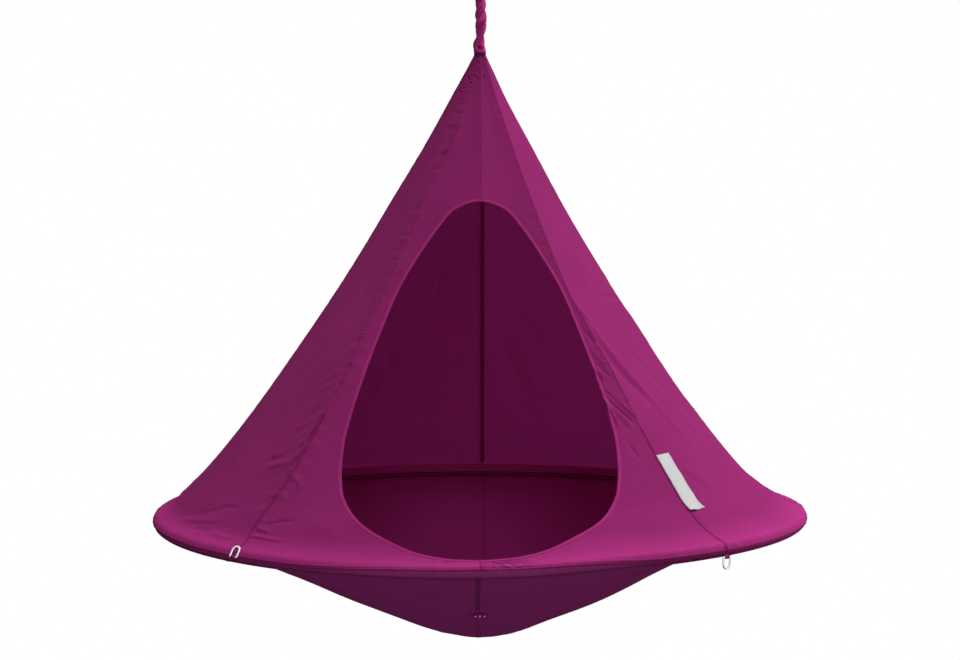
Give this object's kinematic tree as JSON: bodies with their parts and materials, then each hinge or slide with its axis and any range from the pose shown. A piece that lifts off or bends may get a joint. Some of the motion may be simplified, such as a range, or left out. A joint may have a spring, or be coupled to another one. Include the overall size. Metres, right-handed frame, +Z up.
{
  "type": "cocoon hammock",
  "caption": "Hanging cone tent: canvas canopy with a teardrop door over a shallow canvas seat on a round tube ring, hung by rope and oval karabiner from a ceiling plate.",
  "frame": {"origin": "middle of the ceiling plate's upper face, where it lies against the ceiling or beam", "axes": "+Z up; the teardrop door faces -Y; +X to the right of someone who looks at the door"},
  "size_m": [1.5, 1.5, 1.6798],
  "materials": {
    "canvas": "plum cotton canvas",
    "seam_tape": "dark plum woven tape",
    "label_cloth": "blank light grey woven strip",
    "rope": "red braided rope",
    "aluminium": "plain drawn tube",
    "steel": "stainless steel",
    "turned_wood": "turned hardwood, oiled"
  },
  "bodies": {
    "ceiling": {"ceiling_plate": "steel", "staple_eye": "steel", "plate_screw_1": "steel", "plate_screw_2": "steel", "plate_screw_3": "steel", "plate_screw_4": "steel"},
    "karabiner": {"karabiner_body": "steel", "gate_pin": "steel"},
    "gate": {"karabiner_gate": "steel"},
    "lock": {"lock_sleeve": "steel"},
    "rope": {"hanging_rope": "rope", "stopper_knot": "rope", "rope_sheath": "canvas", "thimble": "steel"},
    "tent": {"neck_tie": "canvas", "apex_collar": "turned_wood", "canopy_gore_front_right": "canvas", "canopy_gore_right_front": "canvas", "canopy_gore_right_back": "canvas", "canopy_gore_back_right": "canvas", "canopy_gore_back_left": "canvas", "canopy_gore_left_back": "canvas", "canopy_gore_left_front": "canvas", "canopy_gore_front_left": "canvas", "bowl_gore_front_right": "canvas", "bowl_gore_right_front": "canvas", "bowl_gore_right_back": "canvas", "bowl_gore_back_right": "canvas", "bowl_gore_back_left": "canvas", "bowl_gore_left_back": "canvas", "bowl_gore_left_front": "canvas", "bowl_gore_front_left": "canvas", "seam_tape_front": "seam_tape", "seam_tape_front_right": "seam_tape", "seam_tape_right": "seam_tape", "seam_tape_back_right": "seam_tape", "seam_tape_back": "seam_tape", "seam_tape_back_left": "seam_tape", "seam_tape_left": "seam_tape", "seam_tape_front_left": "seam_tape", "ring_tube_1": "aluminium", "ring_tube_2": "aluminium", "ring_tube_3": "aluminium", "ring_tube_4": "aluminium", "ring_joiner_1": "aluminium", "ring_joiner_2": "aluminium", "ring_joiner_3": "aluminium", "ring_joiner_4": "aluminium", "rim_sleeve": "canvas", "door_binding": "canvas", "side_label": "label_cloth", "tether_loop": "canvas", "hook_tab_right": "canvas", "hook_tab_left": "canvas"},
    "hook_right": {"hook_ring_right": "steel"},
    "hook_left": {"hook_ring_left": "steel"}
  },
  "joints": [
    {"name": "karabiner_swing", "type": "hinge", "parent": "ceiling", "child": "karabiner", "pos_m": [0, 0, -0.04], "axis": [0, 1, 0], "range_deg": [-30, 30]},
    {"name": "gate_hinge", "type": "hinge", "parent": "karabiner", "child": "gate", "pos_m": [0.021, 0, -0.0995], "axis": [0, 1, 0], "range_deg": [-25, 0], "stiffness_Nm_per_rad": 0.05, "springref_deg": 20.05},
    {"name": "lock_slide", "type": "slide", "parent": "gate", "child": "lock", "axis": [0, 0, 1], "range_m": [0, 0.021]},
    {"name": "rope_swing", "type": "hinge", "parent": "karabiner", "child": "rope", "pos_m": [0, 0, -0.1297], "axis": [1, 0, 0], "range_deg": [-30, 30]},
    {"name": "tent_spin", "type": "hinge", "parent": "rope", "child": "tent", "pos_m": [0, 0, -0.30456], "axis": [0, 0, 1], "range_deg": [-180, 180]},
    {"name": "hook_right_hinge", "type": "hinge", "parent": "tent", "child": "hook_right", "pos_m": [0.51385, -0.55235, -1.36256], "axis": [-0.7604, -0.6494, 0], "range_deg": [-30, 213]},
    {"name": "hook_left_hinge", "type": "hinge", "parent": "tent", "child": "hook_left", "pos_m": [-0.51385, -0.55235, -1.36256], "axis": [-0.7604, 0.6494, 0], "range_deg": [-243, 0]}
  ]
}
